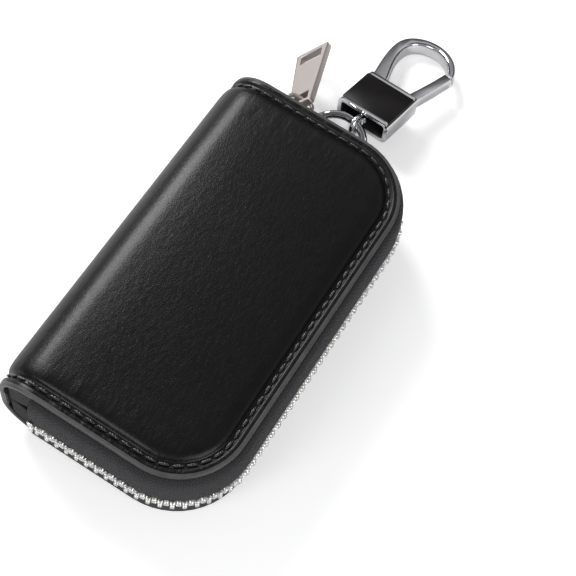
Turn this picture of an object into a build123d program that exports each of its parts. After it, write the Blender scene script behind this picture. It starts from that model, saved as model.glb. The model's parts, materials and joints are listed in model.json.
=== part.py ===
from build123d import *
import math
import os

# Zip-around leather key case with a swivel snap hook, closed and lying on its back.
# X runs across the case (spine at -X, zip at +X), Y along it (snap hook at +Y) and Z up
# through it. The origin is the middle of the face it rests on. Sizes are in millimetres.

# ---- Case ----
case_length = 95.0
case_width = 49.0  # flat leather, from the spine's edge to the zip's edge
case_thickness = 26.6
corner_radius = 16.4  # plan corners on the zip side
leather = 1.4
crown = 0.6  # how far the padded field stands out of the stitched border
crown_inset = 3.6  # width of the stitched border
spine_bulge = 3.5  # how far the spine stands out past the flat leather
spine_bend = 9.0  # outside radius of the two spine corners
fold_gap = 0.5  # crease between a spine corner and the spine strip
fold_inset = 1.9  # fold axis, inwards from the square corner of the spine

# ---- Lined trays ----
tray_wall = 1.2
shield_wall = 0.25
lining_wall = 0.6
layer_gap = 0.02
tray_inset = 4.6  # outside of the tray, in from the leather's edge
tray_seat = 0.3  # glue line under the tray
tray_bend = 7.0  # outside radius along the bottom of the tray
tray_spine_corner = 8.0
spine_clearance = 0.45
rim_width = 2.4
rim_height = 1.5
rim_overhang = 0.15
parting_gap = 0.3  # between the rims of the two halves

# ---- Zip ----
tape_wall = 0.6
tape_hem = 7.0  # tape under the leather's border
tape_turn = 1.9
tape_lean = 1.4
tape_bulge_level = 8.5
tooth_pitch = 2.6
tooth_length = 1.0
tooth_width = 2.2
tooth_height = 2.35
tooth_slot = 0.9
tooth_slot_depth = 1.1
tooth_bevel = 0.45
chain_offset = 1.6  # middle of the teeth, out from the leather's edge
chain_gap = 0.7  # between the two rows of heads, where the slider's web runs
chain_margin = 1.9  # tape at each end of the chain, where the stops are
stop_length = 1.5
gusset_inset = 0.5  # end cloth, in from the leather's ends
gusset_reach = 10.6  # round cut of the end cloth about the fold, clear of the slider

# ---- Slider and pull ----
slider_park = 5.8  # middle of the slider, in from the end of the tape
slider_length = 9.0
slider_front_width = 8.4
slider_rear_width = 6.4
slider_plate = 1.2
slider_clearance = 0.3  # between a plate and the teeth
web_thickness = 0.4
web_length = 3.4
bail_wire = 1.1
bail_span = 6.8
bail_height = 4.3
pull_length = 24.5
pull_thickness = 1.8
pull_outer_width = 10.0
pull_inner_width = 6.6
pull_hole_height = 3.0
pull_hole_width = 4.4
pull_end_bar = 1.3
pull_outer_hole = (6.4, 3.6)
pull_outer_bar = 1.6
pull_direction = (-0.32, 0.88, -0.36)
pull_face = (-0.753, -0.009, 0.656)

# ---- D-ring and its tab ----
tab_x = -1.8
tab_width = 12.0
tab_leather = 1.2
tab_hem = 6.5
ring_wire = 2.2
ring_width = 17.4
ring_corner = 1.2
ring_side = 1.4
ring_play = 0.15
ring_reach = 4.4  # from the case's end to the middle of the D-ring's bar
ring_tilt = 20.0

# ---- Snap hook ----
eye_side = 2.6  # how far along the D-ring the eye hangs
eye_outer = 5.9
eye_wire = 1.2
eye_edge = 0.3
clasp_yaw = -9.3
clasp_droop = 7.5
clasp_roll = 10.0
eye_drop = 8.6  # from the middle of the block to the middle of the eye
block_width = 15.6
block_length = 13.0
block_thickness = 6.6
block_corner = 1.4
block_wall = 1.1
block_crown = 3.4  # solid end under the hook
bridge_wall = 1.4
bridge_depth = 4.6  # bridge plate, in from the open end
shank_radius = 1.1
shank_head = 2.0
running_fit = 0.1
inlay_length = 10.8
inlay_width = 14.8
inlay_depth = 0.5
hook_thickness = 4.2
arm_round = 0.8  # rounding of the arm's long edges
gate_thickness = 3.2
gate_pin_radius = 0.7
gate_pivot = (5.0, 4.6)
gate_foot = 1.5
gate_clearance = 0.3
hook_bend = [(-9.5, 18.2), (-8.7, 23.5), (-3.4, 27.3), (4.3, 26.5), (8.6, 22.4), (9.5, 20.0)]
hook_bore = [(7.2, 20.6), (5.9, 22.5), (2.5, 25.0), (-2.1, 25.2), (-5.6, 23.0), (-6.4, 18.5), (-4.3, 11.4)]
hook_foot = (-7.1, -2.6)  # both sides of the arm where it leaves the block
gate_back = [(6.4, 5.4), (8.0, 12.4), (9.2, 19.5)]
gate_front = [(7.0, 20.0), (6.0, 14.8), (3.7, 5.4)]

# ---- Key chain inside ----
key_tab_x = 3.5
key_tab_width = 8.5
key_tab_leather = 1.2
key_tab_reach = 7.4
key_tab_level = 9.9
key_tab_hole = 1.3
jump_ring_radius = 2.8
jump_ring_wire = 0.8
link_length = 3.4
link_width = 2.6
link_wire = 0.6
link_play = 0.15
link_count = 17
chain_sag = 2.6
connector_radius = 2.2
connector_wire = 0.8
key_ring_outer = 14.5
key_ring_wire = 1.5
key_ring_coil = 0.8
key_ring_play = 0.35

# ---- Places worked out from the sizes ----
zip_x = case_width / 2
half_length = case_length / 2
spine_x = -case_width / 2 - spine_bulge
bend_x = spine_x + spine_bend
bend_z = crown + spine_bend
mid_z = case_thickness / 2
flange_top = crown + leather
middle = Plane.XY.offset(mid_z)
tape_x = bend_x + 0.2
slider_x = tape_x + slider_park
ring_bar_y = half_length + ring_reach
ring_bar_z = flange_top + 2 * tab_leather


def export(piece, name):
    """Label one finished piece and write its file."""
    piece.part.label = name
    export_step(piece.part, f"parts/{name}.step")


os.makedirs("parts", exist_ok=True)


# ---- Leather panels: a flat stitched border, a padded field and one spine corner ----
def half_outline(level, inset, left):
    """Plan of one half: straight at the spine, round at the two zip corners."""
    right = zip_x - inset
    side = half_length - inset
    with BuildSketch(Plane.XY.offset(level)) as outline:
        with BuildLine():
            FilletPolyline(
                (left, -side), (right, -side), (right, side), (left, side), radius=corner_radius - inset
            )
            Line((left, side), (left, -side))
        make_face()
    return outline.sketch


with BuildPart() as back_panel:
    extrude(half_outline(crown, 0, bend_x), amount=leather)
    extrude(half_outline(0, crown_inset, bend_x + crown), amount=crown)
    field_edges = back_panel.faces().sort_by(Axis.Z)[0].edges()
    fillet(field_edges, radius=crown * 0.8)
    with BuildSketch(Plane.XZ):
        with BuildLine():
            CenterArc((bend_x, bend_z), spine_bend, 180, 90)
            Line((bend_x, crown), (bend_x, flange_top))
            CenterArc((bend_x, bend_z), spine_bend - leather, 180, 90)
            Line((spine_x + leather, bend_z), (spine_x, bend_z))
        make_face()
    extrude(amount=half_length, both=True)
export(back_panel, "back_panel")

with BuildPart() as front_panel:
    mirror(back_panel.part, about=middle)
export(front_panel, "front_panel")


# ---- Spine: leather strip, conductive fabric and lining, folding on both creases ----
def spine_layer(depth, wall):
    """Upright strip between the two creases, its outside lying depth in from the leather's."""
    foot = bend_z + fold_gap
    with BuildPart() as layer:
        with BuildSketch(Plane.XY.offset(foot)):
            with Locations((spine_x + depth + wall / 2, 0)):
                Rectangle(wall, case_length)
        extrude(amount=case_thickness - 2 * foot)
    return layer


spine_panel = spine_layer(0, leather)
spine_shield = spine_layer(leather + layer_gap, shield_wall)
spine_lining = spine_layer(leather + shield_wall + 2 * layer_gap, lining_wall)
export(spine_panel, "spine_panel")
export(spine_shield, "spine_shield")
export(spine_lining, "spine_lining")

# ---- Trays: moulded board, conductive fabric and lining, nested in one another ----
tray_left = spine_x + leather + shield_wall + lining_wall + 2 * layer_gap + spine_clearance
tray_floor = flange_top + tray_seat
tray_top = mid_z - parting_gap / 2 - rim_height
shield_depth = tray_wall + layer_gap
lining_depth = shield_depth + shield_wall + layer_gap
tray_depth = lining_depth + lining_wall


def tray_outline(level, inset):
    """Plan of the tray at a height, rounded at all four corners."""
    left = tray_left + inset
    right = zip_x - tray_inset - inset
    side = half_length - tray_inset - inset
    with BuildSketch(Plane.XY.offset(level)) as outline:
        with Locations(((left + right) / 2, 0)):
            Rectangle(right - left, 2 * side)
        fillet(outline.vertices().group_by(Axis.X)[-1], corner_radius - tray_inset - inset)
        fillet(outline.vertices().group_by(Axis.X)[0], tray_spine_corner - inset)
    return outline.sketch


def tray_layer(depth, wall):
    """Open shell with a round bottom edge, its outside lying depth in from the tray's."""
    with BuildPart() as layer:
        extrude(tray_outline(tray_floor + depth, depth), amount=tray_top - tray_floor - depth)
        fillet(layer.faces().sort_by(Axis.Z)[0].edges(), radius=tray_bend - depth)
        offset(amount=-wall, openings=layer.faces().sort_by(Axis.Z)[-1])
    return layer


back_tray = tray_layer(0, tray_wall)
back_shield = tray_layer(shield_depth, shield_wall)
back_lining = tray_layer(lining_depth, lining_wall)

with BuildPart() as back_rim:
    with BuildSketch(Plane.XY.offset(tray_top)):
        add(tray_outline(0, -rim_overhang))
        add(tray_outline(0, rim_width - rim_overhang), mode=Mode.SUBTRACT)
    extrude(amount=rim_height)
    fillet(back_rim.faces().sort_by(Axis.Z)[-1].edges(), radius=rim_height * 0.45)

halves = {"tray": back_tray, "shield": back_shield, "lining": back_lining, "rim": back_rim}
for name, back_piece in halves.items():
    export(back_piece, f"back_{name}")
    with BuildPart() as front_piece:
        mirror(back_piece.part, about=middle)
    export(front_piece, f"front_{name}")


# ---- Zip tapes: hemmed under the border, then bulging out to the teeth ----
tooth_root = mid_z - chain_gap / 2 - tooth_height
tape_edge = tooth_root + tooth_slot_depth - 0.1


def zip_line(out, left):
    """Line round the three zipped sides, out from the leather's edge, from bottom to top."""
    side = half_length + out
    with BuildLine() as line:
        FilletPolyline(
            (left, -side), (zip_x + out, -side), (zip_x + out, side), (left, side), radius=corner_radius + out
        )
    return line.wires()[0]


tab_top = flange_top + 2 * tab_leather
notch_side = tab_width / 2 + 0.3
tape_leg = flange_top + tape_wall / 2
tape_plane = Plane(origin=(tape_x, -half_length, 0), x_dir=(0, -1, 0), z_dir=(-1, 0, 0))
with BuildPart() as whole_tape:
    with BuildSketch(tape_plane) as section:
        with BuildLine() as course:
            FilletPolyline(
                (-tape_hem, tape_leg), (0.3, tape_leg), (tape_lean, tape_bulge_level), (chain_offset, tape_edge), radius=tape_turn
            )
        trace(course.line, line_width=tape_wall)
    sweep(section.sketch, path=zip_line(0, tape_x))

with BuildPart() as front_tape:
    mirror(whole_tape.part, about=middle)
export(front_tape, "front_tape")

with BuildPart() as back_tape:
    add(whole_tape.part)
    with BuildSketch(Plane.XY.offset(flange_top - 0.1)):
        with Locations((tab_x, half_length)):
            Rectangle(2 * notch_side, 2 * (tape_hem + 1))
    extrude(amount=2 * tab_leather + 0.4, mode=Mode.SUBTRACT)
export(back_tape, "back_tape")


# ---- Zip teeth: clamped on the tape's edge, the two rows half a pitch apart ----
chain_line = zip_line(chain_offset, tape_x + chain_margin)

with BuildPart() as tooth:
    with BuildSketch(Plane.XY):
        with BuildLine():
            half_tooth = tooth_width / 2
            half_slot = tooth_slot / 2
            head = tooth_root + tooth_height
            Polyline(
                (-half_tooth, tooth_root),
                (-half_tooth, head - tooth_bevel),
                (-half_tooth + tooth_bevel, head),
                (half_tooth - tooth_bevel, head),
                (half_tooth, head - tooth_bevel),
                (half_tooth, tooth_root),
                (half_slot, tooth_root),
                (half_slot, tooth_root + tooth_slot_depth),
                (-half_slot, tooth_root + tooth_slot_depth),
                (-half_slot, tooth_root),
                close=True,
            )
        make_face()
    extrude(amount=tooth_length / 2, both=True)


def chain_places(first):
    """Places along the zip for one row of teeth, starting first millimetres along."""
    places = []
    travel = first
    while travel < chain_line.length - tooth_length / 2:
        spot = chain_line.position_at(travel, position_mode=PositionMode.LENGTH)
        way = chain_line.tangent_at(travel, position_mode=PositionMode.LENGTH)
        outward = (way.Y, -way.X, 0)
        places.append(Plane(origin=spot, x_dir=outward, z_dir=(-way.X, -way.Y, 0)).location)
        travel += tooth_pitch
    return places


with BuildPart() as back_teeth:
    with Locations(*chain_places(tooth_length / 2)):
        add(tooth.part)
export(back_teeth, "back_teeth")

with BuildPart() as front_teeth:
    with Locations(*chain_places(tooth_length / 2 + tooth_pitch / 2)):
        add(tooth.part)
    mirror(about=middle, mode=Mode.REPLACE)
export(front_teeth, "front_teeth")

# ---- Zip stops: a metal clamp on each tape at both ends of the chain ----
with BuildPart() as back_stops:
    for end in (-1, 1):
        stop_side = half_length + chain_offset
        stop_plane = Plane(
            origin=(tape_x + stop_length / 2, end * stop_side, 0), x_dir=(0, end, 0), z_dir=(end, 0, 0)
        )
        with BuildSketch(stop_plane) as stop:
            with Locations((0, (tooth_root + head) / 2)):
                Rectangle(tooth_width, tooth_height)
            with Locations((0, tooth_root + tooth_slot_depth / 2)):
                Rectangle(tooth_slot, tooth_slot_depth, mode=Mode.SUBTRACT)
        extrude(amount=stop_length / 2 - 0.1, both=True)
export(back_stops, "back_stops")

with BuildPart() as front_stops:
    mirror(back_stops.part, about=middle)
export(front_stops, "front_stops")

# ---- Gussets: cloth across the ends, from the zip tape to the spine ----
gusset_left = spine_x + leather + shield_wall + lining_wall + 2 * layer_gap + spine_clearance / 2
with BuildPart() as back_gussets:
    for end in (-1, 1):
        with BuildSketch(Plane.XZ.offset(-end * (half_length - gusset_inset))):
            with Locations((bend_x, bend_z)):
                Circle(spine_bend - leather - 0.05)
            with Locations(((gusset_left + tape_x) / 2, (crown + bend_z) / 2)):
                Rectangle(tape_x - gusset_left - 0.1, bend_z - crown, mode=Mode.INTERSECT)
            gusset_top = mid_z - parting_gap / 2
            with Locations(((gusset_left + tape_x) / 2, (bend_z + gusset_top) / 2)):
                Rectangle(tape_x - gusset_left - 0.1, gusset_top - bend_z)
            with Locations((spine_x + fold_inset, crown + fold_inset)):
                Circle(gusset_reach, mode=Mode.INTERSECT)
        extrude(amount=end * tape_wall)
export(back_gussets, "back_gussets")

with BuildPart() as front_gussets:
    mirror(back_gussets.part, about=middle)
export(front_gussets, "front_gussets")

# ---- Slider: two plates joined by a thin web, with a wire bail ----
slider_inner = half_length + chain_offset - tooth_width / 2 - slider_clearance
slider_outer = half_length + chain_offset + tooth_width / 2 + slider_clearance


def slider_plane(y):
    """Plane across the top end, facing out: its x runs towards the spine, its y up."""
    return Plane(origin=(slider_x, y, mid_z), x_dir=(-1, 0, 0), z_dir=(0, 1, 0))


with BuildPart() as slider_body:
    for plate_y in (slider_inner - slider_plate, slider_outer):
        with BuildSketch(slider_plane(plate_y)) as plate:
            with BuildLine():
                Polyline(
                    (-slider_length / 2, -slider_rear_width / 2),
                    (0, -slider_rear_width / 2),
                    (slider_length * 0.2, -slider_front_width / 2),
                    (slider_length / 2, -slider_front_width / 2),
                    (slider_length / 2, slider_front_width / 2),
                    (slider_length * 0.2, slider_front_width / 2),
                    (0, slider_rear_width / 2),
                    (-slider_length / 2, slider_rear_width / 2),
                    close=True,
                )
            make_face()
            fillet(plate.vertices(), radius=0.9)
        extrude(amount=slider_plate)
    with BuildSketch(Plane.XY.offset(mid_z - web_thickness / 2)):
        with Locations((slider_x - slider_length / 2 + web_length / 2 + 0.4, (slider_inner + slider_outer) / 2)):
            Rectangle(web_length, slider_outer - slider_inner)
    extrude(amount=web_thickness)
export(slider_body, "slider_body")

bail_foot = slider_outer + slider_plate
bail_bar = bail_foot + bail_height
with BuildPart() as slider_bail:
    with BuildLine() as bail_path:
        FilletPolyline(
            (slider_x - bail_span / 2, bail_foot, mid_z),
            (slider_x - bail_span / 2, bail_bar, mid_z),
            (slider_x + bail_span / 2, bail_bar, mid_z),
            (slider_x + bail_span / 2, bail_foot, mid_z),
            radius=1.4,
        )
    with BuildSketch(Plane(origin=bail_path.line @ 0, z_dir=(0, 1, 0))):
        Circle(bail_wire / 2)
    sweep(path=bail_path.line)
export(slider_bail, "slider_bail")

# ---- Pull: tapered plate with a window at each end, hanging on the bail ----
pull_hook = Vector(slider_x, bail_bar, mid_z)
pull_along = Vector(*pull_direction).normalized()
pull_normal = (Vector(*pull_face) - pull_along * Vector(*pull_face).dot(pull_along)).normalized()
pull_plane = Plane(origin=pull_hook, x_dir=pull_along.cross(pull_normal), z_dir=pull_normal)
pull_end = -pull_hole_height / 2 - pull_end_bar
with BuildPart() as pull_tab:
    with BuildSketch(pull_plane.offset(-pull_thickness / 2)) as blank:
        with BuildLine():
            Polyline(
                (-pull_inner_width / 2, pull_end),
                (pull_inner_width / 2, pull_end),
                (pull_outer_width / 2, pull_end + pull_length),
                (-pull_outer_width / 2, pull_end + pull_length),
                close=True,
            )
        make_face()
        fillet(blank.vertices().group_by(Axis.Y)[0], radius=1.0)
        fillet(blank.vertices().group_by(Axis.Y)[-1], radius=0.5)
        Rectangle(pull_hole_width, pull_hole_height, mode=Mode.SUBTRACT)
        with Locations((0, pull_end + pull_length - pull_outer_bar - pull_outer_hole[1] / 2)):
            Rectangle(*pull_outer_hole, mode=Mode.SUBTRACT)
    extrude(amount=pull_thickness)
export(pull_tab, "pull_tab")

# ---- Clasp tab: doubled leather sewn under the border, looped round the D-ring ----
loop_bore = ring_wire / 2 + ring_play
with BuildPart() as clasp_tab:
    with BuildSketch(Plane.YZ.offset(tab_x - tab_width / 2)):
        with Locations(((half_length - tab_hem + ring_bar_y) / 2, (flange_top + tab_top) / 2)):
            Rectangle(ring_bar_y - half_length + tab_hem, 2 * tab_leather)
        with Locations((ring_bar_y, ring_bar_z)):
            Circle(loop_bore + tab_leather)
            Circle(loop_bore, mode=Mode.SUBTRACT)
    extrude(amount=tab_width)
export(clasp_tab, "clasp_tab")

# ---- D-ring: a straight bar in the tab and a half circle for the eye ----
tilt = math.radians(ring_tilt)
ring_plane = Plane(
    origin=(tab_x, ring_bar_y, ring_bar_z), x_dir=(1, 0, 0), z_dir=(0, -math.sin(tilt), math.cos(tilt))
)
ring_half = (ring_width - ring_wire) / 2
with BuildPart() as d_ring:
    with BuildLine(ring_plane) as ring_path:
        FilletPolyline(
            (-ring_half, ring_corner + ring_side),
            (-ring_half, 0),
            (ring_half, 0),
            (ring_half, ring_corner + ring_side),
            radius=ring_corner,
        )
        ThreePointArc(
            (ring_half, ring_corner + ring_side),
            (0, ring_corner + ring_side + ring_half),
            (-ring_half, ring_corner + ring_side),
        )
    with BuildSketch(Plane(origin=ring_path.line @ 0, z_dir=ring_path.line % 0)):
        Circle(ring_wire / 2)
    sweep(path=ring_path.line)
export(d_ring, "d_ring")

# ---- Snap hook frame: u across the block, v towards the hook's tip, w up ----
eye_centre = ring_plane.from_local_coords(
    (eye_side, ring_corner + ring_side + math.sqrt(ring_half**2 - eye_side**2), 0)
)
clasp_turn = Rotation(0, 0, clasp_yaw) * Rotation(-clasp_droop, 0, 0) * Rotation(0, -clasp_roll, 0)
clasp_axes = Plane(Location(tuple(eye_centre)) * clasp_turn)
clasp = Plane(
    origin=clasp_axes.from_local_coords((0, eye_drop, 0)), x_dir=clasp_axes.x_dir, z_dir=clasp_axes.z_dir
)


def across(v):
    """Plane square to the clasp's length at v, facing the hook's tip."""
    return Plane(origin=clasp.from_local_coords((0, v, 0)), x_dir=clasp.x_dir, z_dir=clasp.y_dir)


# ---- Swivel: an eye on the D-ring, its shank headed inside the block ----
block_foot = -block_length / 2
bridge_foot = block_foot + bridge_depth
bridge_top = bridge_foot + bridge_wall
eye_radius = (eye_outer - eye_wire) / 2
with BuildPart() as swivel_eye:
    with BuildSketch(Plane(origin=clasp.from_local_coords((-eye_wire / 2, -eye_drop, 0)), z_dir=clasp.x_dir)):
        Circle(eye_outer / 2)
        Circle(eye_outer / 2 - eye_wire, mode=Mode.SUBTRACT)
    extrude(amount=eye_wire)
    chamfer(swivel_eye.edges(), eye_edge)
    with BuildSketch(across(-eye_drop + eye_radius)):
        Circle(shank_radius)
    extrude(amount=bridge_top + running_fit + eye_drop - eye_radius)
    with BuildSketch(across(bridge_top + running_fit)):
        Circle(shank_head)
    extrude(amount=0.9)
export(swivel_eye, "swivel_eye")

# ---- Block: a sleeve with a bridge for the swivel and a slotted end for the gate ----
with BuildPart() as clasp_block:
    with BuildSketch(across(block_foot)):
        RectangleRounded(block_width, block_thickness, block_corner)
    extrude(amount=block_length)
    with BuildSketch(across(block_foot)):
        RectangleRounded(block_width - 2 * block_wall, block_thickness - 2 * block_wall, block_corner - 0.6)
    extrude(amount=bridge_depth, mode=Mode.SUBTRACT)
    with BuildSketch(across(bridge_top)):
        RectangleRounded(block_width - 2 * block_wall, block_thickness - 2 * block_wall, block_corner - 0.6)
    extrude(amount=block_length / 2 - block_crown - bridge_top, mode=Mode.SUBTRACT)
    with BuildSketch(across(bridge_foot)):
        Circle(shank_radius + running_fit)
    extrude(amount=bridge_wall, mode=Mode.SUBTRACT)
    for face in (1, -1):
        with BuildSketch(clasp.offset(face * block_thickness / 2)):
            Rectangle(inlay_width, inlay_length)
        extrude(amount=-face * inlay_depth, mode=Mode.SUBTRACT)
    with BuildSketch(clasp.offset(-gate_thickness / 2 - gate_clearance)):
        with Locations((gate_pivot[0], block_length / 2 - block_crown / 2)):
            Rectangle(2 * gate_foot + 2 * gate_clearance + 0.6, block_crown + 0.01)
    extrude(amount=gate_thickness + 2 * gate_clearance, mode=Mode.SUBTRACT)
    with BuildSketch(clasp.offset(-block_thickness / 2)):
        with Locations(gate_pivot):
            Circle(gate_pin_radius)
    extrude(amount=block_thickness, mode=Mode.SUBTRACT)
export(clasp_block, "clasp_block")

for name, face in (("front_inlay", 1), ("rear_inlay", -1)):
    with BuildPart() as inlay:
        with BuildSketch(clasp.offset(face * block_thickness / 2)):
            Rectangle(inlay_width - 0.1, inlay_length - 0.1)
        extrude(amount=-face * (inlay_depth - layer_gap))
    export(inlay, name)

# ---- Hook: one cast arm from the block round to the nose ----
hook_root = block_length / 2
hook_outer = [(hook_foot[0], hook_root), *hook_bend]
hook_inner = [*hook_bore, (hook_foot[1], hook_root)]
with BuildPart() as hook:
    with BuildSketch(clasp.offset(-hook_thickness / 2)):
        with BuildLine():
            Spline(*hook_outer)
            Line(hook_outer[-1], hook_inner[0])
            Spline(*hook_inner)
            Line(hook_inner[-1], hook_outer[0])
        make_face()
    extrude(amount=hook_thickness)
    fillet(hook.edges().filter_by(GeomType.BSPLINE), radius=arm_round)
export(hook, "hook")

# ---- Gate: pivots on a pin in the block and closes against the nose ----
with BuildPart() as gate:
    with BuildSketch(clasp.offset(-gate_thickness / 2)):
        with BuildLine():
            Spline(*gate_back)
            Line(gate_back[-1], gate_front[0])
            Spline(*gate_front)
            Line(gate_front[-1], gate_back[0])
        make_face()
        with Locations(gate_pivot):
            Circle(gate_foot)
            Circle(gate_pin_radius + running_fit, mode=Mode.SUBTRACT)
    extrude(amount=gate_thickness)
export(gate, "gate")

pin_half = block_thickness / 2 - inlay_depth
with BuildPart() as gate_pin:
    with BuildSketch(clasp.offset(-pin_half)):
        with Locations(gate_pivot):
            Circle(gate_pin_radius)
    extrude(amount=2 * pin_half)
export(gate_pin, "gate_pin")

# ---- Key tab: leather tab on the tray's top wall, with a hole for the jump ring ----
lining_side = half_length - tray_inset - tray_depth
tab_tip = lining_side - key_tab_reach
hole_y = tab_tip + 1.9
with BuildPart() as key_tab:
    with BuildSketch(Plane.YZ.offset(key_tab_x - key_tab_width / 2)):
        with Locations(((tab_tip + lining_side) / 2 - layer_gap, key_tab_level)):
            Rectangle(key_tab_reach, key_tab_leather)
        with Locations((lining_side - layer_gap - key_tab_leather / 2, (key_tab_level + tray_top) / 2)):
            Rectangle(key_tab_leather, tray_top - key_tab_level)
    extrude(amount=key_tab_width)
    with BuildSketch(Plane.XY.offset(key_tab_level - key_tab_leather)):
        with Locations((key_tab_x, hole_y)):
            Circle(key_tab_hole)
    extrude(amount=2 * key_tab_leather, mode=Mode.SUBTRACT)
export(key_tab, "key_tab")

with BuildPart() as jump_ring:
    with BuildSketch(Plane.XY.offset(key_tab_level)):
        with Locations((key_tab_x, hole_y)):
            Circle(jump_ring_wire / 2)
    revolve(axis=Axis((0, hole_y - jump_ring_radius, key_tab_level), (1, 0, 0)), revolution_arc=360)
export(jump_ring, "jump_ring")

# ---- Chain: flat oval links, each turned a quarter turn to the next ----
link_pitch = link_length - 2 * link_wire - link_play
connector_level = tray_floor + tray_depth + connector_radius + connector_wire / 2 + 0.1
chain_start = hole_y - 2 * jump_ring_radius + jump_ring_wire / 2 + 2 * link_play + link_wire - link_length / 2
chain_run = link_pitch * (link_count - 1)


def link_spot(index):
    """Middle of one link on the sagging line from the jump ring to the connector."""
    share = index / (link_count - 1)
    level = key_tab_level + (connector_level - key_tab_level) * share - 4 * chain_sag * share * (1 - share)
    return Vector(key_tab_x, chain_start - share * chain_run, level)


with BuildPart() as key_chain:
    for index in range(link_count):
        slope = link_spot(index + 0.5) - link_spot(index - 0.5)
        across_link = (1, 0, 0)
        upward = slope.cross(Vector(across_link)) * -1
        face = upward if index % 2 == 0 else Vector(across_link)
        link_plane = Plane(origin=link_spot(index), x_dir=slope, z_dir=face)
        with BuildSketch(link_plane.offset(-link_wire / 2)):
            SlotOverall(link_length, link_width)
            SlotOverall(link_length - 2 * link_wire, link_width - 2 * link_wire, mode=Mode.SUBTRACT)
        extrude(amount=link_wire)
export(key_chain, "key_chain")

# ---- Connector: a round ring standing between the chain and the key ring ----
connector_near = link_spot(link_count - 1).Y - link_length / 2 + link_wire + link_play + connector_wire / 2
connector_y = connector_near - connector_radius
with BuildPart() as connector_ring:
    with BuildSketch(Plane.XY.offset(connector_level)):
        with Locations((key_tab_x, connector_near)):
            Circle(connector_wire / 2)
    revolve(axis=Axis((0, connector_y, connector_level), (1, 0, 0)), revolution_arc=360)
export(connector_ring, "connector_ring")

# ---- Key ring: a split ring of two coils lying through the connector ----
key_ring_y = connector_y - key_ring_outer / 2 + key_ring_wire / 2
key_ring_level = connector_level - connector_radius + connector_wire / 2 + key_ring_coil + key_ring_play
with BuildPart() as key_ring:
    for level in (key_ring_level - key_ring_coil - 0.02, key_ring_level + 0.02):
        with BuildSketch(Plane.XY.offset(level)):
            with Locations((key_tab_x, key_ring_y)):
                Circle(key_ring_outer / 2)
                Circle(key_ring_outer / 2 - key_ring_wire, mode=Mode.SUBTRACT)
        extrude(amount=key_ring_coil)
export(key_ring, "key_ring")
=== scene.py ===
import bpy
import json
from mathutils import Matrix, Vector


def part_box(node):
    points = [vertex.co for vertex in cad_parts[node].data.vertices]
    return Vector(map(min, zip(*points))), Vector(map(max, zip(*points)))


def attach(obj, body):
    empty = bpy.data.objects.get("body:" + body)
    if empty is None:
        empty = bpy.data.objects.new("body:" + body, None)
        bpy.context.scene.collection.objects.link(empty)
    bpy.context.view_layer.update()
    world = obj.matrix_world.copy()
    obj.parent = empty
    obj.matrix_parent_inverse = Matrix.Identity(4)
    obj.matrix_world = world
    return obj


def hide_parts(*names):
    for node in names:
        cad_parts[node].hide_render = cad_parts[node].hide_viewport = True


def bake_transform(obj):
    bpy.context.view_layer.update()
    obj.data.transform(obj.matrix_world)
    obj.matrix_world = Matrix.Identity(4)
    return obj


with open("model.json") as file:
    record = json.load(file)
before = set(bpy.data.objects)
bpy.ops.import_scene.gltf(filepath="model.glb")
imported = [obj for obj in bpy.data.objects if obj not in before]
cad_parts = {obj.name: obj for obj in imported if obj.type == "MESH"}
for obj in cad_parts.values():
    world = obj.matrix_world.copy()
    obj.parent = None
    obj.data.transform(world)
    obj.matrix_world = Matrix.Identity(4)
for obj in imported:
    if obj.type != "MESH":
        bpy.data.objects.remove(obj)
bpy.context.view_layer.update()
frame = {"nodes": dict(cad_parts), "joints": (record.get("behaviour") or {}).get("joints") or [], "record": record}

import json
import math
import random

import bmesh
import bpy
from bpy.props import FloatProperty, FloatVectorProperty, IntProperty, PointerProperty
from mathutils import Matrix, Vector

bl_info = {
    "name": "Zip-around Key Case",
    "version": (1, 0, 0),
    "blender": (4, 5, 0),
    "location": "View3D > Sidebar > Key Case",
    "description": "Dresses the frame of a leather key case with skins, zip, linings and metal parts",
    "category": "Object",
}

# Lengths are in millimetres here, and a mesh becomes metres when it is made an object.
mm = 0.001


def corners(node):
    """Lowest and highest corner of a node of the frame, in millimetres."""
    low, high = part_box(node)
    return low / mm, high / mm


panel_low, panel_high = corners("back_panel")
front_low, front_high = corners("front_panel")
ring_low, ring_high = corners("d_ring")
tape_low, tape_high = corners("front_tape")
case_top = front_high.z
mid_z = case_top / 2
zip_x = panel_high.x
spine_x = panel_low.x
half_length = panel_high.y
bend_z = panel_high.z
tape_left = tape_low.x


def length(name, default, description):
    """A size property in millimetres that the panel shows."""
    return FloatProperty(name=name, description=description, default=default, min=0.0, precision=2)


def colour(name, default, description):
    """A colour property."""
    return FloatVectorProperty(
        name=name, description=description, default=default, size=3, min=0.0, max=1.0, subtype="COLOR"
    )


class LeatherSizes(bpy.types.PropertyGroup):
    """Sizes of the leather skins, in millimetres."""

    corner: length("Corner radius", 16.4, "Radius of the plan corners on the zip side")
    thickness: length("Thickness", 1.4, "Thickness of the leather")
    bend: length("Spine bend", 9.0, "Outside radius of the two spine corners")
    crown: length("Field height", 0.6, "How far the padded field stands out of the border")
    bead: length("Bead width", 2.1, "Width of the rounded border outside the channel")
    channel: length("Channel width", 1.5, "Width of the sewn channel")
    channel_depth: length("Channel depth", 0.5, "Depth of the sewn channel under the bead")
    dome: length("Dome", 0.5, "How far the middle of the front field rises over its edge")
    stitch_pitch: length("Stitch pitch", 3.0, "Distance from stitch to stitch")
    stitch_length: length("Stitch length", 2.5, "Length of one stitch")
    thread: length("Thread", 0.62, "Thickness of the thread")


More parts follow.
